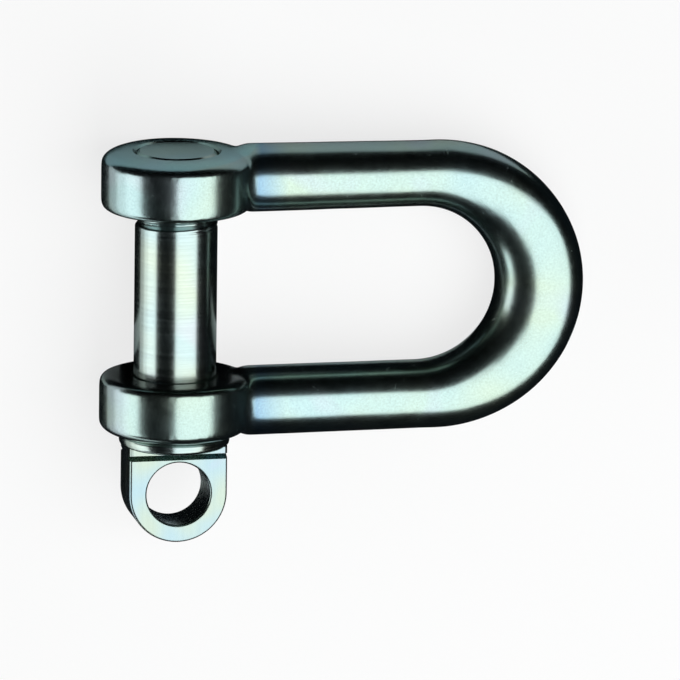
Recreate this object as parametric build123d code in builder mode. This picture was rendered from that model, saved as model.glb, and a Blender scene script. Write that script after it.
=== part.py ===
from build123d import *
import math
import os

# A screw-pin D shackle lying on its side: a forged bow with two round eyes, and a pin that
# passes the near eye, screws into the far eye and ends in a flat tab with a hole.
# X points from the pin to the crown, Y along the pin to its threaded end, and Z up.
# The origin is on the surface it lies on, under the middle of the whole shackle.

# Driving sizes of the bow, in mm
jaw_gap = 33.0
inside_length = 63.0
leg_dia = 13.6
near_taper = 0.2
far_taper = 0.8
crown_width = 17.0
crown_depth = 15.0
root_blend = 6.0
root_length = 4.0
root_height = 10.8
root_squareness = 3.6
eye_dia = 29.2
eye_thickness = 11.4
eye_crowning = 1.3
near_seat_dia = 22.4
far_seat_dia = 18.4
rim_radius = 1.5
bore_chamfer = 0.5

# Driving sizes of the pin, in mm
pin_dia = 16.0
pin_end_chamfer = 0.8
pin_end_sink = 0.3
collar_dia = 21.4
collar_thickness = 2.3
collar_edge = 0.5
neck_length = 1.7
neck_thickness = 11.4
tab_width = 19.2
tab_thickness = 10.0
tab_hole_dia = 12.4
tab_hole_drop = 11.3
tab_edge = 0.6

# Clearances, in mm
bore_clearance = 0.1
collar_clearance = 0.05

# How finely the bar of the bow is described, and how it ends inside the eyes
leg_steps = 4
root_steps = 3
crown_steps = 8
oval_step = 30
oval_squareness = 2.0
root_lead = 1.0
root_sink = 0.15

# Sizes worked out from the driving ones
eye_radius = eye_dia / 2
eye_face = jaw_gap / 2 + eye_thickness
eye_rim_height = eye_thickness - eye_crowning
near_waist = leg_dia - near_taper
far_waist = leg_dia - far_taper
leg_offset = (jaw_gap + eye_thickness) / 2
inner_arc = leg_offset - leg_dia / 2
outer_arc = leg_offset + leg_dia / 2
inner_centre = inside_length - inner_arc
outer_centre = inside_length + crown_width - outer_arc
crown_axis = inside_length + crown_width / 2
bore_radius = pin_dia / 2 + bore_clearance
collar_top = eye_face + collar_clearance
neck_top = collar_top + collar_thickness
collar_middle = collar_top + collar_thickness / 2
hole_drop = eye_face + tab_hole_drop
tab_end = hole_drop + tab_width / 2

# Across the bow's plane each side of a leg runs into its eye's rim by an arc tangent to both
blend_centre = math.sqrt((eye_radius + root_blend) ** 2 - (leg_dia / 2 + root_blend) ** 2)
root_touch = blend_centre * eye_radius / (eye_radius + root_blend)
root_span = blend_centre - root_touch
root_start = root_touch - root_lead


def leg_section(side, along):
    """Section of a leg: its middle, outward lead, half height, half width and squareness."""
    waist = far_waist if side > 0 else near_waist
    bar = leg_dia + along / inner_centre * (waist - leg_dia)
    fade = min(1.0, max(0.0, along - root_start) / root_length)
    root = (1 + math.cos(math.pi * fade)) / 2
    high = (bar + root * (root_height - bar)) / 2
    square = oval_squareness + root * (root_squareness - oval_squareness)
    if along < root_touch:
        wide = math.sqrt(eye_radius**2 - along**2) - root_sink
    else:
        rise = max(0.0, blend_centre - along)
        wide = bar / 2 + root_blend - math.sqrt(root_blend**2 - rise**2)
    return Vector(along, side * (inner_arc + bar / 2)), Vector(0, side), high, wide, square


def crown_section(turn):
    """Section of the crown at a turn in degrees from the far leg, given as for a leg."""
    reach = math.sin(math.radians(turn))
    spread = math.cos(math.radians(turn))
    waist = far_waist if spread > 0 else near_waist
    inner = Vector(inner_centre + inner_arc * reach, inner_arc * spread)
    outer = Vector(outer_centre + outer_arc * reach, (inner_arc + waist) * spread)
    high = (outer - inner).length / 2
    wide = (waist + (crown_depth - waist) * reach**2) / 2
    return (inner + outer) / 2, (outer - inner).normalized(), high, wide, oval_squareness


def half_oval(high, wide, square):
    """Points of half an oval, squared off by its squareness, from one tip to the other."""
    points = [(high, 0)]
    for turn in range(oval_step, 180, oval_step):
        up = math.cos(math.radians(turn))
        out = math.sin(math.radians(turn))
        up = math.copysign(abs(up) ** (2 / square), up)
        points.append((high * up, wide * out ** (2 / square)))
    return points + [(-high, 0)]


# The bar's sections, from inside the far eye round the crown to inside the near eye
root_stops = [root_touch + root_span * step / root_steps for step in range(root_steps + 1)]
leg_span = inner_centre - blend_centre
leg_stops = [blend_centre + leg_span * step / leg_steps for step in range(1, leg_steps)]
stops = [root_start] + root_stops + leg_stops
sections = [leg_section(1, along) for along in stops]
sections += [crown_section(180 * step / crown_steps) for step in range(crown_steps + 1)]
sections += [leg_section(-1, along) for along in reversed(stops)]

# The shackle rests on the rims of its eyes and on its crown, which tips its plane about Y
lay_angle = math.asin((eye_radius - crown_depth / 2) / crown_axis)
crown_reach = crown_axis * math.cos(lay_angle) + math.hypot(
    crown_width / 2 * math.cos(lay_angle),
    crown_depth / 2 * math.sin(lay_angle),
)
far_reach = max(middle.Y + high * lead.Y for middle, lead, high, wide, square in sections)
middle_x = (crown_reach - eye_radius) / 2
middle_y = (far_reach - tab_end) / 2
lay = Plane(Location((-middle_x, -middle_y, eye_radius), (0, math.degrees(lay_angle), 0)))
pin_axis = Axis(lay.origin, lay.y_dir)


def placed(origin, x_dir, z_dir):
    """A plane of the shackle before it is tipped, moved to where the shackle lies."""
    return Plane(lay.location * Plane(origin=origin, x_dir=x_dir, z_dir=z_dir).location)


with BuildPart() as bow:
    # The bar
    for middle, lead, high, wide, square in sections:
        with BuildSketch(placed(middle, lead, (lead.Y, -lead.X, 0))):
            with BuildLine():
                Spline(*half_oval(high, wide, square), tangents=((0, 1), (0, -1)))
                Spline(*half_oval(-high, -wide, square), tangents=((0, -1), (0, 1)))
            make_face()
    loft()
    # Each eye is a disc with a rounded rim, whose outer face falls away from a flat seat
    for side, seat_dia in ((1, far_seat_dia), (-1, near_seat_dia)):
        with BuildSketch(placed((0, side * jaw_gap / 2, 0), (1, 0, 0), (0, 0, side))) as half_eye:
            with BuildLine():
                Polyline(
                    (seat_dia / 2, eye_thickness),
                    (0, eye_thickness),
                    (0, 0),
                    (eye_radius, 0),
                    (eye_radius, eye_rim_height),
                )
                TangentArc(
                    (seat_dia / 2, eye_thickness),
                    (eye_radius, eye_rim_height),
                    tangent=(1, 0),
                )
            make_face()
            fillet(half_eye.vertices().group_by(Axis.X)[-1], radius=rim_radius)
        revolve(axis=pin_axis)
    # One bore through both eyes, its mouths chamfered
    with BuildSketch(placed((0, -eye_face, 0), (1, 0, 0), (0, 1, 0))):
        Circle(bore_radius)
    extrude(amount=2 * eye_face, mode=Mode.SUBTRACT)
    mouths = bow.edges(Select.LAST).filter_by(GeomType.CIRCLE)
    chamfer(mouths, length=bore_chamfer)

bow.part.label = "bow"

with BuildPart() as tab:
    # The flat of the pin's head, begun inside the collar, with its round end and its hole
    with BuildSketch(lay):
        with Locations((0, -hole_drop)):
            Circle(tab_width / 2)
        with Locations((0, -(collar_middle + hole_drop) / 2)):
            Rectangle(tab_width, hole_drop - collar_middle)
        with Locations((0, -hole_drop)):
            Circle(tab_hole_dia / 2, mode=Mode.SUBTRACT)
    extrude(amount=tab_thickness / 2, both=True)
    flats = tab.faces().filter_by(Axis(lay.origin, lay.z_dir))
    fillet(flats.edges(), radius=tab_edge)

with BuildPart() as pin:
    # The round parts: the chamfered end, the shank and the collar
    with BuildSketch(lay):
        with BuildLine():
            Polyline(
                (0, -neck_top),
                (0, eye_face - pin_end_sink),
                (pin_dia / 2, eye_face - pin_end_sink),
                (pin_dia / 2, -collar_top),
                (collar_dia / 2, -collar_top),
                (collar_dia / 2, -neck_top),
                close=True,
            )
        make_face()
    revolve(axis=pin_axis)
    rings = pin.edges().filter_by(GeomType.CIRCLE)
    chamfer(rings.sort_by(Axis.Y)[-1], length=pin_end_chamfer)
    rings = pin.edges().filter_by(GeomType.CIRCLE)
    collar_rings = rings.filter_by(lambda edge: math.isclose(edge.radius, collar_dia / 2))
    fillet(collar_rings, radius=collar_edge)
    # The neck, which is the collar's round between two flats
    with BuildSketch(placed((0, -neck_top, 0), (1, 0, 0), (0, -1, 0))):
        Circle(collar_dia / 2 - collar_edge)
        Rectangle(tab_width, neck_thickness, mode=Mode.INTERSECT)
    extrude(amount=neck_length)
    add(tab.part)

pin.part.label = "pin"

os.makedirs("parts", exist_ok=True)
export_step(bow.part, "parts/bow.step")
export_step(pin.part, "parts/pin.step")
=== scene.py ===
import math
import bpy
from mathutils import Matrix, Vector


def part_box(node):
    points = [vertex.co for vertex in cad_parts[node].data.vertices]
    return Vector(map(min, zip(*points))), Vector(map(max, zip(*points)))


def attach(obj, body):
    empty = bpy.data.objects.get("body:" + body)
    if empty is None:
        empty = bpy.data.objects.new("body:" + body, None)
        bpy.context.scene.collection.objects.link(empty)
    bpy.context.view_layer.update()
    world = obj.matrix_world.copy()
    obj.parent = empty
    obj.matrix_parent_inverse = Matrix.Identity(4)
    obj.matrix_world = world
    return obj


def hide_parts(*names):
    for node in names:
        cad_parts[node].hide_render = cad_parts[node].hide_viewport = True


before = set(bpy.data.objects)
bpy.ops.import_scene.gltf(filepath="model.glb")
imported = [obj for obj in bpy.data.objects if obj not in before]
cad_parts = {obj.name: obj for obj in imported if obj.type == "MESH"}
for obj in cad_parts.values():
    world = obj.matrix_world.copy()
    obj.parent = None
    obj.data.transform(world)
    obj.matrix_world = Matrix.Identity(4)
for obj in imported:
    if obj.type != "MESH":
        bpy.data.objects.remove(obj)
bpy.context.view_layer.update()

from types import SimpleNamespace

import bmesh
import bpy
from bpy.props import FloatProperty, FloatVectorProperty, IntProperty, PointerProperty
from bpy.types import Operator, Panel, PropertyGroup
from mathutils import Matrix, Vector

bl_info = {
    "name": "Screw-pin dee shackle",
    "version": (1, 0, 0),
    "blender": (4, 5, 0),
    "location": "3D View > Sidebar > Shackle",
    "description": "Builds a forged dee shackle, its threaded pin and a small studio",
    "category": "Object",
}

PIN_LOW, PIN_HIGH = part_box("pin")
# In the frame the pin's end lies this far below the far eye's face
PACKED_SINK = 0.0003
# Edges that turn by more than this stay crisp
SHARP_ANGLE = math.radians(32)

# The photo's width, and the middle of the pin between the eyes in it, both in its pixels
PHOTO_SIZE = 680
PIN_IN_PHOTO = (175.6, 291.2)

# The floor, the black tent round the shackle and the cards that lie on the floor
FLOOR_REACH = 6.0
TENT_SIDE, TENT_ROOF, TENT_FOOT = 2.2, 1.0, 0.001
CARD_HEIGHT = 0.0005
CARD_REACH = TENT_SIDE - 0.01

# The cards that reflections show, as (left, right, front, back) on the floor
TEAL_CARDS = (
    (-0.068, -0.014, 0.040, 0.25),  # behind the far eye
)
GREY_CARDS = (
    (-0.014, 0.000, 0.040, 0.25),  # behind the far leg's root
    (0.000, 0.050, 0.040, 0.11),  # behind the rest of the far leg
    (-0.068, -0.042, -0.006, 0.000),  # between the legs, left of the pin
    (-0.020, 0.050, -0.006, 0.000),  # between the legs, right of the pin
    (-0.0304, -0.0290, -0.045, -0.022),  # under the tab
)
# The floor glows in reflections, so all the rest of it near the shackle is covered in black
BLACK_CARDS = (
    (0.050, CARD_REACH, -CARD_REACH, CARD_REACH),
    (-0.068, 0.050, -CARD_REACH, -0.045),
    (-CARD_REACH, -0.068, -CARD_REACH, -0.5),
    (-0.068, -0.0304, -0.045, -0.006),
    (-0.029, 0.050, -0.045, -0.006),
    (-0.0304, -0.029, -0.022, -0.006),
    (-0.068, 0.050, 0.000, 0.040),
    (-0.042, -0.020, -0.006, 0.000),
    (-0.068, 0.050, 0.25, CARD_REACH),
    (0.000, 0.050, 0.11, 0.25),
    (-CARD_REACH, -0.068, 0.045, CARD_REACH),
)

# The overhead softbox: its height, and the degrees it spans along the legs and along the pin
OVERHEAD_HEIGHT = 0.9
OVERHEAD_ALONG = (-11, 50)
OVERHEAD_ACROSS = (-53, 19)
# The other two, placed from the pin's middle and the floor, with their widths and heights
SIDE_SPOT, SIDE_SIZE = (-1.2, -0.45, 0.35), (1.2, 0.68)
LOW_SPOT, LOW_SIZE = (-0.568, -0.24, 0.003), (1.0, 0.52)
LOW_SHARE = 0.4


# Settings


def length(name, default, description):
    """A size in metres."""
    return FloatProperty(
        name=name, description=description, default=default, min=0.0,
        subtype="DISTANCE", unit="LENGTH", precision=5,
    )


def number(name, default, description):
    """A plain number."""
    return FloatProperty(name=name, description=description, default=default, min=0.0)


def colour(name, default, description):
    """A colour without alpha."""
    return FloatVectorProperty(
        name=name, description=description, default=default, size=3, min=0.0, max=1.0,
        subtype="COLOR",
    )


def angle(name, default, description):
    """An angle whose default is given in degrees."""
    return FloatProperty(
        name=name, description=description, default=math.radians(default),
        subtype="ANGLE", unit="ROTATION",
    )


class BowSettings(PropertyGroup):
    jaw_gap: length("Jaw gap", 0.033, "Clear width between the eyes")
    inside_length: length("Inside length", 0.063, "From the pin's axis to the crown's inside")
    leg_dia: length("Leg diameter", 0.0136, "Bar thickness where it leaves the eyes")
    near_taper: length("Near taper", 0.0002, "How much thinner the near leg is at the crown")
    far_taper: length("Far taper", 0.0008, "How much thinner the far leg is at the crown")
    crown_width: length("Crown width", 0.017, "Thickness of the crown in the bow's plane")
    crown_depth: length("Crown depth", 0.015, "Thickness of the crown across the bow's plane")
    root_blend: length("Root blend", 0.006, "Radius by which the bar runs into an eye")
    root_length: length("Root length", 0.004, "Length in which the root grows to the bar")
    root_lead: length("Root lead", 0.001, "How far before the eye's rim the root begins to grow")
    root_height: length("Root height", 0.0108, "Thickness of the root inside an eye")
    root_sink: length("Root sink", 0.002, "How far the bar goes on inside an eye")
    crown_squareness: number("Crown squareness", 3.0, "Of the crown's outer half, 2 is round")
    crown_lean: length("Crown lean", 0.0007, "How far the crown's crest lies outside its middle")
    eye_dia: length("Eye diameter", 0.0292, "Outside diameter of the eyes")
    eye_thickness: length("Eye thickness", 0.0114, "Thickness of an eye at its bore")
    eye_crowning: length("Eye crowning", 0.0013, "How far an eye's outer face falls to its rim")
    outer_rim: length("Outer rim radius", 0.0008, "Rounding of an eye's outer rim")
    inner_rim: length("Inner rim radius", 0.0014, "Rounding of an eye's inner rim")
    bore_radius: length("Bore radius", 0.0081, "Radius of the bore through the eyes")
    mouth: length("Bore mouth", 0.0005, "Chamfer at the mouths of the bores")
    voxel: length("Skin spacing", 0.0004, "Spacing of the forged skin's faces")
    skin_passes: IntProperty(
        name="Skin smoothing", description="Passes that melt the roots into the eyes",
        default=22, min=0,
    )
    relief_depth: length("Relief depth", 0.00009, "Depth of the forging's slow unevenness")
    relief_size: length("Relief size", 0.011, "Size of the forging's slow unevenness")
    steel: colour("Forged steel", (0.300, 0.375, 0.360), "Colour of the plated forging")


class PinSettings(PropertyGroup):
    radius: length("Pin radius", 0.008, "Radius of the shank and of the thread's crests")
    end_chamfer: length("End chamfer", 0.0008, "Chamfer of the threaded end")
    end_sink: length("End sink", 0.0, "How far the end lies below the far eye's face")
    thread_pitch: length("Thread pitch", 0.002, "Rise of the thread in one turn")
    thread_depth: length("Thread depth", 0.0010, "Depth of the thread's groove")
    thread_length: length("Thread length", 0.0150, "Length of the threaded part")
    thread_runout: length("Thread run-out", 0.0016, "Length in which the groove fades away")
    collar_dia: length("Collar diameter", 0.0214, "Diameter of the collar")
    collar_thickness: length("Collar thickness", 0.0023, "Thickness of the collar")
    collar_edge: length("Collar edge", 0.0009, "Rounding of the collar's edges")
    collar_clearance: length("Collar clearance", 0.00005, "Gap between collar and eye")
    neck_length: length("Neck length", 0.0017, "Length of the neck below the collar")
    neck_thickness: length("Neck thickness", 0.0114, "Thickness of the neck between its flats")
    groove_drop: length("Groove drop", 0.0009, "From the collar to the groove above the tab")
    groove_width: length("Groove width", 0.0013, "Width of the groove above the tab")
    groove_depth: length("Groove depth", 0.0018, "Depth of the groove below the tab's face")
    neck_inset: length("Neck inset", 0.00004, "How far the neck's edges lie inside the tab's")
    tab_width: length("Tab width", 0.0192, "Width of the flat tab")
    tab_thickness: length("Tab thickness", 0.010, "Thickness of the flat tab")
    tab_hole_dia: length("Tab hole diameter", 0.0124, "Diameter of the tightening hole")
    tab_hole_drop: length("Tab hole drop", 0.0113, "From the near eye's face to the hole's middle")
    tab_edge: length("Tab edge", 0.0005, "Rounding of the tab's edges")
    steel: colour("Turned steel", (0.34, 0.39, 0.37), "Colour of the plated pin")
    tab_steel: colour("Milled steel", (0.29, 0.345, 0.36), "Colour of the milled tab")


class StageSettings(PropertyGroup):
    floor: colour("Floor", (0.22, 0.223, 0.223), "Colour of the floor")
    floor_glow: number("Floor glow", 0.78, "Brightness that the floor shows of itself")
    grey_card: colour("Grey card", (0.66, 0.72, 0.74), "Colour of the cards for the far leg")
    teal_card: colour("Teal card", (0.56, 0.76, 0.82), "Colour of the card for the far eye's face")
    lamp_level: number("Lamp level", 2.6, "Brightness of the softboxes")
    turn: angle("Camera turn", 11.5, "Turn of the camera round the pin's axis")
    rise: angle("Camera rise", 13.7, "Rise of the camera from the bow's plane, to the far eye")
    roll: angle("Camera roll", 0.7, "Clockwise roll of the picture")
    distance: length("Camera distance", 4.0, "Distance of the camera")
    view_width: length("View width", 0.1313, "Width of what the camera sees at the shackle")


# Places and meshes


def tip_angle(bow):
    """How far the bow's plane tips, because it rests on its eyes and its thinner crown."""
    rest = bow.inside_length + bow.crown_width / 2
    return math.asin((bow.eye_dia - bow.crown_depth) / 2 / rest)


def place(bow):
    """Where the shackle lies: from its own axes, with the pin along Y, to the frame's."""
    axis = (PIN_LOW + PIN_HIGH) / 2
    far_face = bow.jaw_gap / 2 + bow.eye_thickness
    middle = Vector((axis.x, PIN_HIGH.y + PACKED_SINK - far_face, axis.z))
    return Matrix.Translation(middle) @ Matrix.Rotation(tip_angle(bow), 4, "Y")


def own_axes(lay):
    """The shackle's own axes in the frame: along its legs, along its pin and up."""
    return [lay.to_3x3() @ Vector(axis) for axis in ((1, 0, 0), (0, 1, 0), (0, 0, 1))]


def tidy(mesh, weld=1e-7):
    """Merges doubled points and turns every face outwards."""
    work = bmesh.new()
    work.from_mesh(mesh)
    bmesh.ops.remove_doubles(work, verts=work.verts, dist=weld)
    bmesh.ops.recalc_face_normals(work, faces=work.faces)
    work.to_mesh(mesh)
    work.free()


def join_meshes(target, others):
    """Adds the faces of other meshes to a mesh."""
    work = bmesh.new()
    work.from_mesh(target)
    for other in others:
        work.from_mesh(other)
    work.to_mesh(target)
    work.free()
    tidy(target)


def grid_mesh(name, rows, closed_rows=False):
    """A mesh of rings of points, each ring closed, with the first and last rings capped."""
    count = len(rows[0])
    vertices = [tuple(point) for row in rows for point in row]
    faces = []
    last = len(rows) if closed_rows else len(rows) - 1
    for i in range(last):
        j = (i + 1) % len(rows)
        for k in range(count):
            n = (k + 1) % count
            faces.append((i * count + k, i * count + n, j * count + n, j * count + k))
    if not closed_rows:
        faces.append(tuple(range(count)))
        faces.append(tuple(range((len(rows) - 1) * count, len(rows) * count)))
    mesh = bpy.data.meshes.new(name)
    mesh.from_pydata(vertices, [], faces)
    tidy(mesh)
    return mesh


def lathe(name, profile, segments):
    """A mesh turned round the pin's axis from (radius, along) points; its ends are capped."""
    turns = [2 * math.pi * k / segments for k in range(segments)]
    return grid_mesh(name, [
        [(radius * math.cos(turn), along, radius * math.sin(turn)) for turn in turns]
        for radius, along in profile
    ])


def rounding(centre, radius, first, last, steps):
    """Points of an arc in a lathe's profile, between two angles in degrees."""
    turns = [math.radians(first + (last - first) * k / steps) for k in range(steps + 1)]
    return [(centre[0] + radius * math.cos(t), centre[1] + radius * math.sin(t)) for t in turns]


def shown(name, mesh, material=None):
    """Puts a mesh in the scene as an object at the origin."""
    piece = bpy.data.objects.new(name, mesh)
    bpy.context.scene.collection.objects.link(piece)
    if material:
        mesh.materials.append(material)
    return piece


def baked(piece):
    """Turns a piece's modifiers into its plain mesh and removes them."""
    bpy.context.view_layer.update()
    graph = bpy.context.evaluated_depsgraph_get()
    mesh = bpy.data.meshes.new_from_object(piece.evaluated_get(graph), depsgraph=graph)
    piece.modifiers.clear()
    piece.data = mesh
    return piece


def combine(piece, tool, operation):
    """Adds another object's solid to a piece, or cuts it out, and deletes that object."""
    step = piece.modifiers.new("solid", "BOOLEAN")
    step.operation = operation
    step.solver = "EXACT"
    step.object = tool
    step.material_mode = "TRANSFER"
    baked(piece)
    bpy.data.objects.remove(tool)


def finish_shape(piece, bow):
    """Lays a piece where it rests and shades it smooth, with crisp edges and flat flats."""
    piece.data.transform(place(bow))
    tidy(piece.data)
    piece.data.shade_smooth()
    piece.data.set_sharp_from_angle(angle=SHARP_ANGLE)
    even = piece.modifiers.new("even", "WEIGHTED_NORMAL")
    even.keep_sharp = True
    baked(piece)


# Node trees


class Tree:
    """A small writer of node trees."""

    def __init__(self, nodes, links):
        self.nodes = nodes
        self.links = links

    def add(self, kind, settings=None, **inputs):
        """Adds a node with its settings and its inputs."""
        node = self.nodes.new(kind)
        for key, value in (settings or {}).items():
            setattr(node, key, value)
        for key, value in inputs.items():
            self.put(node, key, value)
        return node

    def put(self, node, key, value):
        """Sets or links one input: i0, i1 and so on by its place, or its name with _ for spaces."""
        by_place = key[0] == "i" and key[1:].isdigit()
        slot = node.inputs[int(key[1:]) if by_place else key.replace("_", " ")]
        if isinstance(value, bpy.types.NodeSocket):
            self.links.new(value, slot)
        else:
            slot.default_value = value

    def math(self, operation, a, b=0.0, c=0.0):
        """One step of arithmetic."""
        return self.add("ShaderNodeMath", {"operation": operation}, i0=a, i1=b, i2=c).outputs[0]

    def plus(self, a, b):
        """The sum of two values."""
        return self.math("ADD", a, b)

    def minus(self, a, b):
        """The difference of two values."""
        return self.math("SUBTRACT", a, b)

    def times(self, a, b):
        """The product of two values."""
        return self.math("MULTIPLY", a, b)

    def over(self, a, b):
        """The quotient of two values."""
        return self.math("DIVIDE", a, b)

    def long_side(self, a, b):
        """The long side of a right triangle with these two sides."""
        return self.math("SQRT", self.plus(self.times(a, a), self.times(b, b)))

    def ramp(self, value, from_min, from_max, to_min=0.0, to_max=1.0):
        """Maps one range to another and holds the value inside it."""
        node = self.add(
            "ShaderNodeMapRange", {"clamp": True},
            i0=value, i1=from_min, i2=from_max, i3=to_min, i4=to_max,
        )
        return node.outputs[0]

    def spread(self, value, low, high):
        """Maps a noise's usual range to a range of one's own."""
        return self.ramp(value, 0.3, 0.7, low, high)

    def noise(self, vector, scale, detail=2.0, roughness=0.5):
        """A noise of a given fineness."""
        return self.add(
            "ShaderNodeTexNoise", Vector=vector, Scale=scale, Detail=detail, Roughness=roughness,
        ).outputs[0]

    def place_on_piece(self):
        """The place on the piece, in metres."""
        return self.add("ShaderNodeTexCoord").outputs["Object"]

    def mixed(self, factor, first, second, blend="MIX"):
        """A mix of two colours."""
        settings = {"data_type": "RGBA", "blend_type": blend}
        return self.add("ShaderNodeMix", settings, i0=factor, i6=first, i7=second).outputs[2]

    def shaded(self, paint, shade):
        """A colour made lighter or darker by a value."""
        grey = self.add("ShaderNodeCombineColor", i0=shade, i1=shade, i2=shade).outputs[0]
        return self.mixed(1.0, paint, grey, "MULTIPLY")


def geometry_tree(name, inputs):
    """A Geometry Nodes group with named inputs; returns it, its writer and its input node."""
    group = bpy.data.node_groups.new(name, "GeometryNodeTree")
    group.interface.new_socket("Geometry", in_out="INPUT", socket_type="NodeSocketGeometry")
    for label, kind in inputs.items():
        group.interface.new_socket(label, in_out="INPUT", socket_type=kind)
    group.interface.new_socket("Geometry", in_out="OUTPUT", socket_type="NodeSocketGeometry")
    tree = Tree(group.nodes, group.links)
    return group, tree, tree.add("NodeGroupInput").outputs


def end_tree(tree, geometry, material):
    """Ends a Geometry Nodes group in real, painted geometry."""
    real = tree.add("GeometryNodeRealizeInstances", i0=geometry)
    painted = tree.add("GeometryNodeSetMaterial", Geometry=real.outputs[0], Material=material)
    tree.add("NodeGroupOutput", Geometry=painted.outputs[0])


def run_tree(piece, group, values):
    """Runs a Geometry Nodes group on a piece and keeps the result as its plain mesh."""
    step = piece.modifiers.new(group.name, "NODES")
    step.node_group = group
    for socket in group.interface.items_tree:
        if socket.in_out == "INPUT" and socket.name in values:
            step[socket.identifier] = values[socket.name]
    return baked(piece)


# Materials


def new_material(name):
    """An empty material and the writer of its nodes."""
    material = bpy.data.materials.new(name)
    material.use_nodes = True
    material.node_tree.nodes.clear()
    return material, Tree(material.node_tree.nodes, material.node_tree.links)


def weighed(base, red, green, blue):
    """A base colour with its three channels scaled."""
    return [base[0] * red, base[1] * green, base[2] * blue, 1.0]


def tinted(tree, where, base, amount, scale):
    """A steel colour that drifts a little between cool, green and straw tints of the plating."""
    cool, straw = weighed(base, 0.84, 1.00, 1.07), weighed(base, 1.02, 1.04, 0.86)
    drift = tree.ramp(tree.noise(where, scale, detail=1.0), 0.35, 0.65)
    tint = tree.mixed(drift, cool, straw)
    lilac = tree.ramp(tree.noise(where, scale * 1.7, detail=0.0), 0.62, 0.80)
    tint = tree.mixed(lilac, tint, weighed(base, 0.96, 0.96, 1.08))
    return tree.mixed(amount, weighed(base, 1.0, 1.0, 1.0), tint)


def end_metal(tree, paint, rough, height, strength, depth):
    """Ends a material in bare metal with a fine relief of a given depth."""
    bump = tree.add("ShaderNodeBump", Strength=strength, Distance=depth, Height=height)
    shader = tree.add(
        "ShaderNodeBsdfPrincipled",
        Base_Color=paint, Metallic=1.0, Roughness=rough, Normal=bump.outputs[0],
    )
    tree.add("ShaderNodeOutputMaterial", Surface=shader.outputs[0])


def painted_jaw_and_root_shade(tree, where, pin_middle, jaw, eye_radius):
    """Painted shade: how far each place is darkened on the jaw's faces round the pin, and how far
    the bar is darkened towards blue where it meets the eyes.
    """
    # Brightness left under the painted jaw shade, and the strength of the painted bluish root shade
    jaw_shade_level, root_shade = 0.22, 0.8
    # From the pin's axis: where the painted jaw shade fades out, and where the painted bluish root
    # shade begins, peaks and ends
    jaw_shade_edge, rim = eye_radius * 0.88, eye_radius * 1.02
    peak, end = eye_radius * 1.12, eye_radius * 1.5
    spot = tree.add(
        "ShaderNodeVectorMath", {"operation": "SUBTRACT"}, i0=where, i1=tuple(pin_middle),
    )
    x, y, z = tree.add("ShaderNodeSeparateXYZ", i0=spot.outputs[0]).outputs
    across = tree.long_side(x, z)
    near = tree.ramp(across, jaw_shade_edge, rim, 1.0, 0.0)
    inside = tree.ramp(tree.math("ABSOLUTE", y), jaw + 0.0003, jaw + 0.0009, 1.0, 0.0)
    # Painted shade on the jaw's faces round the pin, between the eyes
    jaw_shade_factor = tree.ramp(tree.times(near, inside), 0.0, 1.0, 1.0, jaw_shade_level)
    # Painted bluish shade on the bar just outside the eyes' rims, fading along the legs
    rising, fading = tree.ramp(across, rim, peak), tree.ramp(across, peak, end, root_shade, 0.0)
    return jaw_shade_factor, tree.times(fading, rising)


def forged_steel(base, pin_middle, jaw, eye_radius):
    """Plated forging: satin, faintly tinted, with a fine grain and a few small pits.

    The jaw's faces are darkened round the pin with painted shade, and the bar is darkened towards
    blue where it meets the eyes, a painted shade that dims the start of the legs' highlights.
    """
    material, tree = new_material("forged_steel")
    where = tree.place_on_piece()
    jaw_shade_factor, root_shade = painted_jaw_and_root_shade(tree, where, pin_middle, jaw, eye_radius)
    paint = tinted(tree, where, base, 0.7, 60.0)
    # Painted bluish shade where the bar meets the eyes, dimming the start of the legs' highlights
    paint = tree.mixed(root_shade, paint, weighed(base, 0.47, 0.67, 1.00))
    fine = tree.noise(where, 2600.0, roughness=0.6)
    broad = tree.noise(where, 420.0, detail=3.0, roughness=0.55)
    # The fine grain's random tone, times the painted shade on the jaw's faces
    paint = tree.shaded(paint, tree.times(tree.spread(fine, 0.90, 1.06), jaw_shade_factor))
    rough = tree.plus(tree.spread(broad, 0.19, 0.24), tree.spread(fine, 0.0, 0.04))
    pits = tree.add("ShaderNodeTexVoronoi", {"feature": "F1"}, Vector=where, Scale=230.0)
    pit = tree.ramp(pits.outputs["Distance"], 0.05, 0.13)
    few = tree.math("GREATER_THAN", tree.noise(where, 60.0, detail=0.0), 0.68)
    pit = tree.math("MAXIMUM", pit, tree.minus(1.0, few))
    height = tree.plus(tree.times(fine, 0.35), tree.times(broad, 0.8))
    height = tree.plus(height, tree.times(pit, 0.7))
    end_metal(tree, paint, rough, height, strength=0.17, depth=0.00006)
    return material


def turned_steel(base):
    """Turned and plated: fine rings round the pin's axis, smoother than the forging."""
    material, tree = new_material("turned_steel")
    where = tree.place_on_piece()
    rings = tree.add("ShaderNodeMapping", Vector=where, Scale=(40.0, 2600.0, 40.0)).outputs[0]
    cut = tree.noise(rings, 1.0, roughness=0.6)
    fine = tree.noise(where, 1500.0, roughness=0.6)
    paint = tree.shaded(tinted(tree, where, base, 0.7, 75.0), tree.spread(cut, 0.90, 1.04))
    rough = tree.plus(tree.spread(cut, 0.15, 0.22), tree.spread(fine, 0.0, 0.04))
    height = tree.plus(tree.times(cut, 0.5), tree.times(fine, 0.25))
    end_metal(tree, paint, rough, height, strength=0.12, depth=0.00003)
    return material


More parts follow.
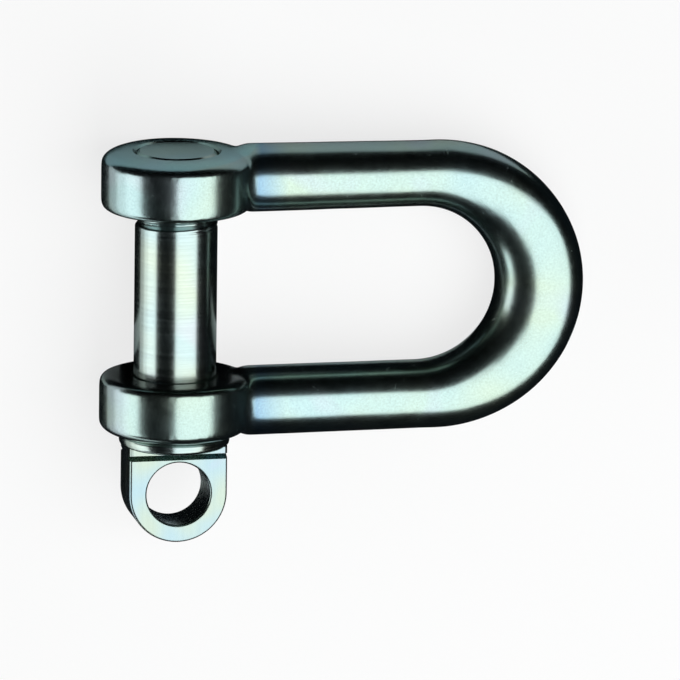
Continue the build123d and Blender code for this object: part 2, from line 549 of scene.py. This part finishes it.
def milled_steel(base, tip):
    """The tab: bright, with pale blue and straw tints and faint strokes along it."""
    material, tree = new_material("milled_steel")
    where = tree.place_on_piece()
    strokes = tree.add(
        "ShaderNodeMapping",
        Vector=where, Rotation=(0.0, -tip, 0.0), Scale=(1800.0, 60.0, 1800.0),
    )
    cut = tree.noise(strokes.outputs[0], 1.0, roughness=0.6)
    paint = tree.shaded(tinted(tree, where, base, 1.0, 110.0), tree.spread(cut, 0.92, 1.03))
    rough = tree.spread(cut, 0.20, 0.30)
    end_metal(tree, paint, rough, height=cut, strength=0.12, depth=0.00003)
    return material


def matt(tree, base, scale, low, high, detail=2.0):
    """A matt surface of one colour whose brightness drifts finely between two levels."""
    grain = tree.spread(tree.noise(tree.place_on_piece(), scale, detail), low, high)
    paint = tree.shaded([*base, 1.0], grain)
    return tree.add("ShaderNodeBsdfDiffuse", Color=paint).outputs[0]


def seen_rays(tree):
    """1 for the rays that show a background: from the camera, a gloss or through glass."""
    rays = tree.add("ShaderNodeLightPath").outputs
    seen = tree.math("MAXIMUM", rays["Is Camera Ray"], rays["Is Glossy Ray"])
    return tree.math("MAXIMUM", seen, rays["Is Transmission Ray"])


def floor_paper(base, glow):
    """Plain pale paper with a faint fibre, which glows a little for the background."""
    material, tree = new_material("floor_paper")
    paper = matt(tree, base, 900.0, 0.985, 1.0, detail=3.0)
    own = tree.add("ShaderNodeEmission", Strength=tree.times(seen_rays(tree), glow)).outputs[0]
    both = tree.add("ShaderNodeAddShader", i0=paper, i1=own)
    tree.add("ShaderNodeOutputMaterial", Surface=both.outputs[0])
    return material


def black_cloth():
    """Black studio cloth with a loose weave."""
    material, tree = new_material("black_cloth")
    cloth = matt(tree, (0.8, 1.0, 1.25), 40.0, 0.006, 0.014)
    tree.add("ShaderNodeOutputMaterial", Surface=cloth)
    return material


def matt_card(name, base):
    """Matt card of one colour with a faint grain."""
    material, tree = new_material(name)
    card = matt(tree, base, 300.0, 0.97, 1.0)
    tree.add("ShaderNodeOutputMaterial", Surface=card)
    return material


# Thread


def thread_tree():
    """Cuts a helical groove into a turned surface, following the rule of a screw."""
    numbers = ("Surface Radius", "Pitch", "Depth", "Start", "End", "Run-out", "Outward")
    group, tree, given = geometry_tree("thread", {
        **{label: "NodeSocketFloat" for label in numbers}, "Material": "NodeSocketMaterial",
    })
    spot = tree.add("GeometryNodeInputPosition").outputs[0]
    x, y, z = tree.add("ShaderNodeSeparateXYZ", i0=spot).outputs
    turn = tree.over(tree.math("ARCTAN2", z, x), 2 * math.pi)
    phase = tree.math("FRACT", tree.plus(tree.over(y, given["Pitch"]), turn))
    ridge = tree.times(tree.math("ABSOLUTE", tree.minus(phase, 0.5)), 2.0)
    groove = tree.ramp(ridge, 0.16, 0.84, 1.0, 0.0)
    begin = tree.ramp(tree.minus(y, given["Start"]), 0.0, given["Run-out"])
    finish = tree.math("LESS_THAN", y, given["End"])
    depth = tree.times(tree.times(given["Depth"], groove), tree.times(begin, finish))
    radius = tree.long_side(x, z)
    on_surface = tree.math("COMPARE", radius, given["Surface Radius"], 0.00002)
    change = tree.over(
        tree.times(depth, given["Outward"]), tree.math("MAXIMUM", radius, 0.0001),
    )
    moved = tree.add("ShaderNodeCombineXYZ", X=tree.times(x, change), Z=tree.times(z, change))
    shaped = tree.add(
        "GeometryNodeSetPosition",
        Geometry=given["Geometry"], Selection=on_surface, Offset=moved.outputs[0],
    )
    end_tree(tree, shaped.outputs[0], given["Material"])
    return group


def threaded(piece, pin, radius, start, end, outward, material):
    """Cuts the pin's thread into a piece's surface of a given radius, outward or inward."""
    run_tree(piece, thread_tree(), {
        "Surface Radius": radius, "Pitch": pin.thread_pitch, "Depth": pin.thread_depth,
        "Start": start, "End": end, "Run-out": pin.thread_runout, "Outward": outward,
        "Material": material,
    })


# Bow


def bow_rule(bow):
    """Sizes of the bow that follow from its settings."""
    rule = SimpleNamespace()
    rule.eye_radius = bow.eye_dia / 2
    rule.near_waist = bow.leg_dia - bow.near_taper
    rule.far_waist = bow.leg_dia - bow.far_taper
    offset = (bow.jaw_gap + bow.eye_thickness) / 2
    rule.inner_arc = offset - bow.leg_dia / 2
    rule.outer_arc = offset + bow.leg_dia / 2
    rule.inner_centre = bow.inside_length - rule.inner_arc
    rule.outer_centre = bow.inside_length + bow.crown_width - rule.outer_arc
    rule.blend_centre = math.sqrt(
        (rule.eye_radius + bow.root_blend) ** 2 - (bow.leg_dia / 2 + bow.root_blend) ** 2
    )
    rule.touch = rule.blend_centre * rule.eye_radius / (rule.eye_radius + bow.root_blend)
    return rule


def leg_section(bow, rule, side, along):
    """A leg's section: middle, lead, half height, half width, squareness and lean."""
    waist = rule.far_waist if side > 0 else rule.near_waist
    bar = bow.leg_dia + along / rule.inner_centre * (waist - bow.leg_dia)
    fade = min(1.0, max(0.0, along - rule.touch + bow.root_lead) / bow.root_length)
    root = (1 + math.cos(math.pi * fade)) / 2
    high = (bar + root * (bow.root_height - bar)) / 2
    rise = max(0.0, rule.blend_centre - max(along, rule.touch))
    wide = bar / 2 + bow.root_blend - math.sqrt(bow.root_blend**2 - rise**2)
    middle = (along, side * (rule.inner_arc + bar / 2), 0.0)
    return middle, (0.0, side, 0.0), high, wide, 2.0, 0.0


def crown_section(bow, rule, turn):
    """The crown's section on a spoke from the inner arc's centre, given as for a leg."""
    reach, spread = math.sin(turn), math.cos(turn)
    waist = rule.far_waist if spread > 0 else rule.near_waist
    across, shift = rule.inner_arc + waist, rule.outer_centre - rule.inner_centre
    # The spoke ends on the outer half oval, or on the straight side before it
    square_term = (reach / rule.outer_arc) ** 2 + (spread / across) ** 2
    half_term = reach * shift / rule.outer_arc**2
    end_term = (shift / rule.outer_arc) ** 2 - 1
    spoke = (half_term + math.sqrt(half_term**2 - square_term * end_term)) / square_term
    if spoke * reach < shift:
        spoke = across / abs(spread)
    middle = (rule.inner_arc + spoke) / 2
    full = reach**2
    return (
        (rule.inner_centre + middle * reach, middle * spread, 0.0), (reach, spread, 0.0),
        (spoke - rule.inner_arc) / 2, (waist + (bow.crown_depth - waist) * full) / 2,
        2.0 + (bow.crown_squareness - 2.0) * full, bow.crown_lean * full,
    )


def bar_path(bow, rule, leg_steps=60, crown_steps=90):
    """The bar's middle line, whose points carry all that the sweep must know."""
    start = rule.touch - bow.root_sink
    stops = [start + (rule.inner_centre - start) * k / leg_steps for k in range(leg_steps)]
    turns = [math.pi * k / crown_steps for k in range(crown_steps + 1)]
    sections = [leg_section(bow, rule, 1, along) for along in stops]
    sections += [crown_section(bow, rule, turn) for turn in turns]
    sections += [leg_section(bow, rule, -1, along) for along in reversed(stops)]
    mesh = bpy.data.meshes.new("bar_path")
    mesh.from_pydata(
        [section[0] for section in sections], [(k, k + 1) for k in range(len(sections) - 1)], [],
    )
    for index, label in enumerate(("middle", "lead")):
        values = mesh.attributes.new(label, "FLOAT_VECTOR", "POINT")
        values.data.foreach_set("vector", [part for section in sections for part in section[index]])
    for index, label in enumerate(("half_height", "half_width", "squareness", "lean"), 2):
        values = mesh.attributes.new(label, "FLOAT", "POINT")
        values.data.foreach_set("value", [section[index] for section in sections])
    return mesh


def bar_tree():
    """Sweeps an oval along the bar's middle line, shaped at each point as the line says."""
    group, tree, given = geometry_tree("forged_bar", {
        "Sides": "NodeSocketInt", "Material": "NodeSocketMaterial",
    })

    def told(label, kind="FLOAT"):
        node = tree.add("GeometryNodeInputNamedAttribute", {"data_type": kind}, Name=label)
        return next(socket for socket in node.outputs if socket.enabled)

    def squared(share_of_radius, power):
        size = tree.math("POWER", tree.math("ABSOLUTE", share_of_radius), power)
        return tree.times(tree.math("SIGN", share_of_radius), size)

    line = tree.add("GeometryNodeMeshToCurve", i0=given["Geometry"])
    ring = tree.add("GeometryNodeCurvePrimitiveCircle", Resolution=given["Sides"], Radius=1.0)
    marked = tree.add(
        "GeometryNodeStoreNamedAttribute", {"data_type": "FLOAT_VECTOR", "domain": "POINT"},
        Geometry=ring.outputs[0], Name="spoke",
        Value=tree.add("GeometryNodeInputPosition").outputs[0],
    )
    bar = tree.add(
        "GeometryNodeCurveToMesh",
        Curve=line.outputs[0], Profile_Curve=marked.outputs[0], Scale=told("half_height"),
        Fill_Caps=True,
    )
    spoke = tree.add("ShaderNodeSeparateXYZ", i0=told("spoke", "FLOAT_VECTOR")).outputs
    outer_half = tree.math("GREATER_THAN", spoke[0], 0.0)
    excess = tree.times(tree.minus(told("squareness"), 2.0), outer_half)
    power = tree.over(2.0, tree.plus(2.0, excess))
    out, rise = squared(spoke[0], power), squared(spoke[1], power)
    crest = tree.minus(1.0, tree.math("ABSOLUTE", out))
    outward = tree.plus(
        tree.times(out, told("half_height")), tree.times(crest, told("lean")),
    )
    led = tree.add(
        "ShaderNodeVectorMath", {"operation": "SCALE"},
        i0=told("lead", "FLOAT_VECTOR"), Scale=outward,
    )
    raised = tree.add("ShaderNodeCombineXYZ", Z=tree.times(rise, told("half_width")))
    moved = tree.add("ShaderNodeVectorMath", i0=led.outputs[0], i1=raised.outputs[0])
    moved = tree.add(
        "ShaderNodeVectorMath", i0=moved.outputs[0], i1=told("middle", "FLOAT_VECTOR"),
    )
    shaped = tree.add(
        "GeometryNodeSetPosition", Geometry=bar.outputs[0], Position=moved.outputs[0],
    )
    end_tree(tree, shaped.outputs[0], given["Material"])
    return group


def relief_tree():
    """Gives the forged skin its slow unevenness, in and out along its normals."""
    group, tree, given = geometry_tree("forged_relief", {
        "Depth": "NodeSocketFloat", "Size": "NodeSocketFloat", "Material": "NodeSocketMaterial",
    })
    spot = tree.add("GeometryNodeInputPosition").outputs[0]
    waves = tree.noise(spot, tree.over(1.0, given["Size"]), detail=1.0)
    depth = tree.times(tree.minus(waves, 0.5), given["Depth"])
    out = tree.add(
        "ShaderNodeVectorMath", {"operation": "SCALE"},
        i0=tree.add("GeometryNodeInputNormal").outputs[0], Scale=depth,
    )
    shaped = tree.add(
        "GeometryNodeSetPosition", Geometry=given["Geometry"], Offset=out.outputs[0],
    )
    end_tree(tree, shaped.outputs[0], given["Material"])
    return group


def eye_mesh(bow, rule, side, rings=8, segments=192):
    """One eye as a solid disc: a crowned outer face, a flat inner face and rounded rims."""
    radius, inner = rule.eye_radius, bow.jaw_gap / 2
    outer = inner + bow.eye_thickness
    rim = outer - bow.eye_crowning
    flat, seat = 0.85, radius * 0.68
    profile = [(radius * k / rings * flat, inner) for k in range(rings + 1)]
    profile += rounding((radius - bow.inner_rim, inner + bow.inner_rim), bow.inner_rim, -90, 0, 6)
    profile += rounding((radius - bow.outer_rim, rim - bow.outer_rim), bow.outer_rim, 0, 80, 8)
    for k in range(rings + 1):
        reach = (radius - bow.outer_rim) * (1 - k / rings) + seat * k / rings
        drop = bow.eye_crowning * max(0.0, (reach - seat) / (radius - seat)) ** 2
        profile.append((reach, outer - drop))
    profile.append((0.0, outer))
    return lathe("eye", [(r, side * along) for r, along in profile], segments)


def forged_skin(bow, rule, steel, sides=256, melt_share=0.5):
    """The bar and the eyes under one skin, melted together and slightly uneven."""
    piece = shown("shackle_bow", bar_path(bow, rule))
    run_tree(piece, bar_tree(), {"Sides": sides, "Material": steel})
    join_meshes(piece.data, [eye_mesh(bow, rule, side) for side in (1, -1)])
    skin = piece.modifiers.new("skin", "REMESH")
    skin.mode = "VOXEL"
    skin.voxel_size = bow.voxel
    melt = piece.modifiers.new("melt", "SMOOTH")
    melt.factor = melt_share
    melt.iterations = bow.skin_passes
    baked(piece)
    run_tree(piece, relief_tree(), {
        "Depth": bow.relief_depth, "Size": bow.relief_size, "Material": steel,
    })
    return piece


def bore_profile(bow, start, end, rows, reach=0.002):
    """The cutter of one bore, with a chamfered mouth at each end."""
    radius, mouth = bow.bore_radius, bow.mouth
    wide, span = radius + mouth + reach, end - start - 2 * mouth
    profile = [(0.0, start - reach), (wide, start - reach), (radius, start + mouth)]
    profile += [(radius, start + mouth + span * k / rows) for k in range(1, rows)]
    return profile + [(radius, end - mouth), (wide, end + reach), (0.0, end + reach)]


def cut_bores(piece, bow, pin, turned, segments=128):
    """Cuts the plain bore of the near eye and the tapped bore of the far eye."""
    inner, outer = bow.jaw_gap / 2, bow.jaw_gap / 2 + bow.eye_thickness
    plain = lathe("near_bore", bore_profile(bow, -outer, -inner, 6), segments)
    combine(piece, shown("near_bore", plain, turned), "DIFFERENCE")
    tapped = shown("far_bore", lathe("far_bore", bore_profile(bow, inner, outer, 100), segments))
    # The tap runs right through, so its run-out would lie far before the bore
    before = inner - 1.0
    threaded(tapped, pin, bow.bore_radius, before, outer - bow.mouth, 1.0, turned)
    combine(piece, tapped, "DIFFERENCE")


class SHACKLE_OT_bow(Operator):
    """Build the forged bow: bar, eyes, melted roots, a plain bore and a tapped bore"""

    bl_idname = "shackle.bow"
    bl_label = "Forged bow"

    def execute(self, context):
        bow, pin = context.scene.shackle_bow, context.scene.shackle_pin
        rule = bow_rule(bow)
        steel = forged_steel(bow.steel, place(bow).translation, bow.jaw_gap / 2, rule.eye_radius)
        turned = turned_steel(pin.steel)
        piece = forged_skin(bow, rule, steel)
        cut_bores(piece, bow, pin, turned)
        finish_shape(piece, bow)
        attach(piece, "bow")
        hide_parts("bow")
        return {"FINISHED"}


# Pin


def pin_profile(pin, end, collar_top, neck_top, thread_rows=190, shank_rows=10, chamfer_rows=4):
    """The pin's round parts, from its threaded end to the underside of its collar."""
    collar, edge, chamfer = pin.collar_dia / 2, pin.collar_edge, pin.end_chamfer
    start = end - pin.thread_length
    span, shank = pin.thread_length - chamfer, collar_top - start
    # Rings that keep the shading even beside the shank's foot and the collar's edges
    foot, flat = 0.0002, collar - edge * 1.3
    profile = [(0.0, end)]
    profile += [
        (pin.radius - chamfer * (1 - k / chamfer_rows), end - chamfer * k / chamfer_rows)
        for k in range(chamfer_rows)
    ]
    profile += [
        (pin.radius, end - chamfer - span * k / thread_rows) for k in range(thread_rows + 1)
    ]
    profile += [(pin.radius, start + shank * k / shank_rows) for k in range(1, shank_rows)]
    profile += [(pin.radius, collar_top + foot), (pin.radius, collar_top), (flat, collar_top)]
    profile += rounding((collar - edge, collar_top - edge), edge, 90, 0, 6)
    profile += rounding((collar - edge, neck_top + edge), edge, 0, -90, 6)
    return profile + [(flat, neck_top), (0.0, neck_top)]


def neck_mesh(pin, top, bottom, steps=160):
    """The neck: the collar's round between two flats that stand a little above the tab's."""
    radius = pin.collar_dia / 2 - pin.neck_inset
    half_width, half_thick = pin.tab_width / 2 - pin.neck_inset, pin.neck_thickness / 2
    row = []
    for k in range(steps):
        turn = 2 * math.pi * (k + 0.5) / steps
        x, z = radius * math.cos(turn), radius * math.sin(turn)
        x = max(-half_width, min(half_width, x))
        row.append((x, max(-half_thick, min(half_thick, z))))
    return grid_mesh("neck", [[(x, along, z) for x, z in row] for along in (top, bottom)])


def tab_mesh(pin, drop, top, around=180, edge_steps=5):
    """The flat tab as a ring round its hole: straight sides, a round end and rounded edges."""
    half, thick, edge = pin.tab_width / 2, pin.tab_thickness / 2, pin.tab_edge
    hole, tiny = pin.tab_hole_dia / 2, 1e-9
    # A ring on the flat beside each rounded edge keeps the flat's shading even
    beside = edge * 1.25
    arc = [math.radians(90 * m / edge_steps) for m in range(edge_steps + 1)]
    rows = []
    for k in range(around):
        turn = 2 * math.pi * k / around
        out = Vector((math.cos(turn), math.sin(turn)))
        if out.y <= 0:
            rim, lead = out * half, out
        else:
            rim = out * min(half / max(abs(out.x), tiny), (top - drop) / max(out.y, tiny))
            on_side = abs(rim.x) > half - tiny
            lead = Vector((math.copysign(1.0, out.x) if on_side else 0.0, 0.0))
        inside = [
            (out * (hole + edge - edge * math.cos(a)), thick - edge + edge * math.sin(a))
            for a in arc
        ]
        outside = [
            (rim - lead * (edge - edge * math.sin(a)), thick - edge + edge * math.cos(a))
            for a in arc
        ]
        flat = [(out * (hole + beside), thick), (rim - lead * beside, thick)]
        upper = inside + flat + outside
        section = upper + [(spot, -height) for spot, height in reversed(upper)]
        rows.append([(spot.x, drop + spot.y, height) for spot, height in section])
    return grid_mesh("tab", rows, closed_rows=True)


def groove_mesh(pin, neck_top):
    """The cutter of the groove across both flats that parts the neck from the tab."""
    reach, upper = pin.tab_width, neck_top - pin.groove_drop
    lower, bottom = upper - pin.groove_width, pin.tab_thickness / 2 - pin.groove_depth
    section = (
        (upper, pin.neck_thickness / 2), ((upper + lower) / 2, bottom),
        (lower, pin.tab_thickness / 2), (lower, reach), (upper, reach),
    )
    mesh = bpy.data.meshes.new("groove")
    join_meshes(mesh, [
        grid_mesh("groove_side", [
            [(x, along, sign * height) for along, height in section] for x in (-reach, reach)
        ])
        for sign in (1, -1)
    ])
    return mesh


class SHACKLE_OT_pin(Operator):
    """Build the screw pin: threaded end, shank, collar, neck and flat tab"""

    bl_idname = "shackle.pin"
    bl_label = "Screw pin"

    def execute(self, context):
        bow, pin = context.scene.shackle_bow, context.scene.shackle_pin
        turned = bpy.data.materials["turned_steel"]
        milled = milled_steel(pin.tab_steel, tip_angle(bow))
        face = bow.jaw_gap / 2 + bow.eye_thickness
        end = face - pin.end_sink
        collar_top = -face - pin.collar_clearance
        neck_top = collar_top - pin.collar_thickness
        # How far the neck and the tab go up into the collar
        neck_lap, tab_lap = 0.0003, 0.0006

        profile = pin_profile(pin, end, collar_top, neck_top)
        piece = shown("shackle_pin", lathe("shackle_pin", profile, segments=144))
        start, finish = end - pin.thread_length, end - pin.end_chamfer / 2
        threaded(piece, pin, pin.radius, start, finish, -1.0, turned)
        neck = neck_mesh(pin, neck_top + neck_lap, neck_top - pin.neck_length)
        combine(piece, shown("neck", neck, milled), "UNION")
        tab = tab_mesh(pin, -(face + pin.tab_hole_drop), neck_top + tab_lap)
        combine(piece, shown("tab", tab, milled), "UNION")
        combine(piece, shown("groove", groove_mesh(pin, neck_top), milled), "DIFFERENCE")
        finish_shape(piece, bow)
        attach(piece, "pin")
        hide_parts("pin")
        return {"FINISHED"}


# Stage


def pale_world(fill=0.5, background=0.9):
    """A pale room that lights the object a little and shows brighter than it lights."""
    world = bpy.data.worlds.new("pale_room")
    world.use_nodes = True
    world.node_tree.nodes.clear()
    tree = Tree(world.node_tree.nodes, world.node_tree.links)
    strength = tree.ramp(seen_rays(tree), 0.0, 1.0, fill, background)
    room = tree.add("ShaderNodeBackground", Color=(1.0, 1.0, 1.0, 1.0), Strength=strength)
    tree.add("ShaderNodeOutputWorld", Surface=room.outputs[0])
    bpy.context.scene.world = world


def square_corners(reach):
    """The corners of a square round the origin, as (x, y)."""
    return [(-reach, -reach), (reach, -reach), (reach, reach), (-reach, reach)]


def floor_and_tent(stage, cloth):
    """The floor, and on it a tent of black cloth that the camera looks through."""
    floor = bpy.data.meshes.new("floor")
    floor.from_pydata([(x, y, 0) for x, y in square_corners(FLOOR_REACH)], [], [(0, 1, 2, 3)])
    shown("floor", floor, floor_paper(stage.floor, stage.floor_glow))

    corners = square_corners(TENT_SIDE)
    walls = [(k, (k + 1) % 4, (k + 1) % 4 + 4, k + 4) for k in range(4)]
    mesh = bpy.data.meshes.new("black_cloth")
    mesh.from_pydata(
        [(x, y, z) for z in (TENT_FOOT, TENT_ROOF) for x, y in corners], [],
        walls + [(4, 5, 6, 7)],
    )
    tent = shown("black_cloth", mesh, cloth)
    tent.visible_camera = False


def reflected_cards(name, material, areas):
    """Flat cards on the floor that only reflections show, as (left, right, front, back) areas."""
    mesh = bpy.data.meshes.new(name)
    spots = [
        (x, y, CARD_HEIGHT)
        for left, right, front, back in areas
        for x, y in ((left, front), (right, front), (right, back), (left, back))
    ]
    mesh.from_pydata(spots, [], [tuple(range(4 * k, 4 * k + 4)) for k in range(len(areas))])
    cards = shown(name, mesh, material)
    cards.visible_camera = cards.visible_diffuse = cards.visible_shadow = False


def softbox(name, centre, towards, up, size, radiance):
    """A large soft lamp that faces a spot and isn't seen by the camera."""
    lamp = bpy.data.lights.new(name, "AREA")
    lamp.shape = "RECTANGLE"
    lamp.size, lamp.size_y = size
    lamp.energy = radiance * lamp.size * lamp.size_y * math.pi
    piece = bpy.data.objects.new(name, lamp)
    bpy.context.scene.collection.objects.link(piece)
    back = (centre - towards).normalized()
    right = Vector(up).cross(back).normalized()
    turn = Matrix((right, back.cross(right), back)).transposed().to_4x4()
    piece.matrix_world = Matrix.Translation(centre) @ turn
    piece.visible_camera = False


def softboxes(lay, level):
    """The lamps: a broad one overhead, a strip at the left and a weak reflector on the floor."""
    along, across, up = own_axes(lay)
    middle = lay.translation
    x_low, x_high = (math.tan(math.radians(a)) * OVERHEAD_HEIGHT for a in OVERHEAD_ALONG)
    y_low, y_high = (math.tan(math.radians(a)) * OVERHEAD_HEIGHT for a in OVERHEAD_ACROSS)
    centre = (
        middle + along * (x_low + x_high) / 2 + across * (y_low + y_high) / 2
        + up * OVERHEAD_HEIGHT
    )
    size = (x_high - x_low, y_high - y_low)
    softbox("overhead_softbox", centre, centre - up, across, size, level)
    side = Vector((middle.x + SIDE_SPOT[0], middle.y + SIDE_SPOT[1], SIDE_SPOT[2]))
    softbox("side_softbox", side, side + Vector((1, 0, 0)), (0, 0, 1), SIDE_SIZE, level)
    low = Vector((middle.x + LOW_SPOT[0], middle.y + LOW_SPOT[1], LOW_SPOT[2]))
    dimmed = level * LOW_SHARE
    softbox("low_reflector", low, low + Vector((0, 0, 1)), (0, 1, 0), LOW_SIZE, dimmed)


def aim_camera(lay, stage, sensor=36.0):
    """The camera, which sees the middle of the pin where the photo has it."""
    along, across, up = own_axes(lay)
    turn, rise = stage.turn, stage.rise
    back = (
        up * math.cos(rise) * math.cos(turn)
        + across * math.sin(rise)
        - along * math.cos(rise) * math.sin(turn)
    ).normalized()
    top = (across - back * across.dot(back)).normalized()
    right = top.cross(back)
    rolled = Matrix.Rotation(stage.roll, 3, back)
    top, right = rolled @ top, rolled @ right
    pixel = stage.view_width / PHOTO_SIZE
    aside, above = (PHOTO_SIZE / 2 - place_in_photo for place_in_photo in PIN_IN_PHOTO)
    target = lay.translation + right * aside * pixel - top * above * pixel
    lens = bpy.data.cameras.new("camera")
    lens.sensor_width = sensor
    lens.lens = sensor * stage.distance / stage.view_width
    lens.clip_start, lens.clip_end = 0.1, 40.0
    camera = bpy.data.objects.new("camera", lens)
    bpy.context.scene.collection.objects.link(camera)
    turned = Matrix((right, top, back)).transposed().to_4x4()
    camera.matrix_world = Matrix.Translation(target + back * stage.distance) @ turned
    bpy.context.scene.camera = camera


class SHACKLE_OT_stage(Operator):
    """Build the floor, the soft lamps, the black cloth round them and the camera"""

    bl_idname = "shackle.stage"
    bl_label = "Studio"

    def execute(self, context):
        stage, lay = context.scene.shackle_stage, place(context.scene.shackle_bow)
        cloth = black_cloth()
        floor_and_tent(stage, cloth)
        reflected_cards("black_cards", cloth, BLACK_CARDS)
        reflected_cards("grey_cards", matt_card("grey_card", stage.grey_card), GREY_CARDS)
        reflected_cards("teal_card", matt_card("teal_card", stage.teal_card), TEAL_CARDS)
        softboxes(lay, stage.lamp_level)
        pale_world()
        aim_camera(lay, stage)
        context.scene.view_settings.view_transform = "Standard"
        return {"FINISHED"}


# Add-on


class SHACKLE_PT_panel(Panel):
    """Lists the steps that build the shackle"""

    bl_idname = "SHACKLE_PT_panel"
    bl_label = "Dee shackle"
    bl_space_type = "VIEW_3D"
    bl_region_type = "UI"
    bl_category = "Shackle"

    def draw(self, context):
        for title, step, settings in (
            ("Bow", "shackle.bow", context.scene.shackle_bow),
            ("Pin", "shackle.pin", context.scene.shackle_pin),
            ("Stage", "shackle.stage", context.scene.shackle_stage),
        ):
            box = self.layout.box()
            box.label(text=title)
            for key in settings.bl_rna.properties.keys():
                if key not in ("rna_type", "name"):
                    box.prop(settings, key)
            box.operator(step)


CLASSES = (
    BowSettings, PinSettings, StageSettings,
    SHACKLE_OT_bow, SHACKLE_OT_pin, SHACKLE_OT_stage, SHACKLE_PT_panel,
)


def register():
    """Registers the classes and gives every scene their settings."""
    for item in CLASSES:
        bpy.utils.register_class(item)
    bpy.types.Scene.shackle_bow = PointerProperty(type=BowSettings)
    bpy.types.Scene.shackle_pin = PointerProperty(type=PinSettings)
    bpy.types.Scene.shackle_stage = PointerProperty(type=StageSettings)


def unregister():
    """Takes back all that register did."""
    del bpy.types.Scene.shackle_stage
    del bpy.types.Scene.shackle_pin
    del bpy.types.Scene.shackle_bow
    for item in reversed(CLASSES):
        bpy.utils.unregister_class(item)


def main():
    """Builds the shackle and its studio."""
    register()
    bpy.ops.shackle.bow()
    bpy.ops.shackle.pin()
    bpy.ops.shackle.stage()


if __name__ == "__main__":
    main()
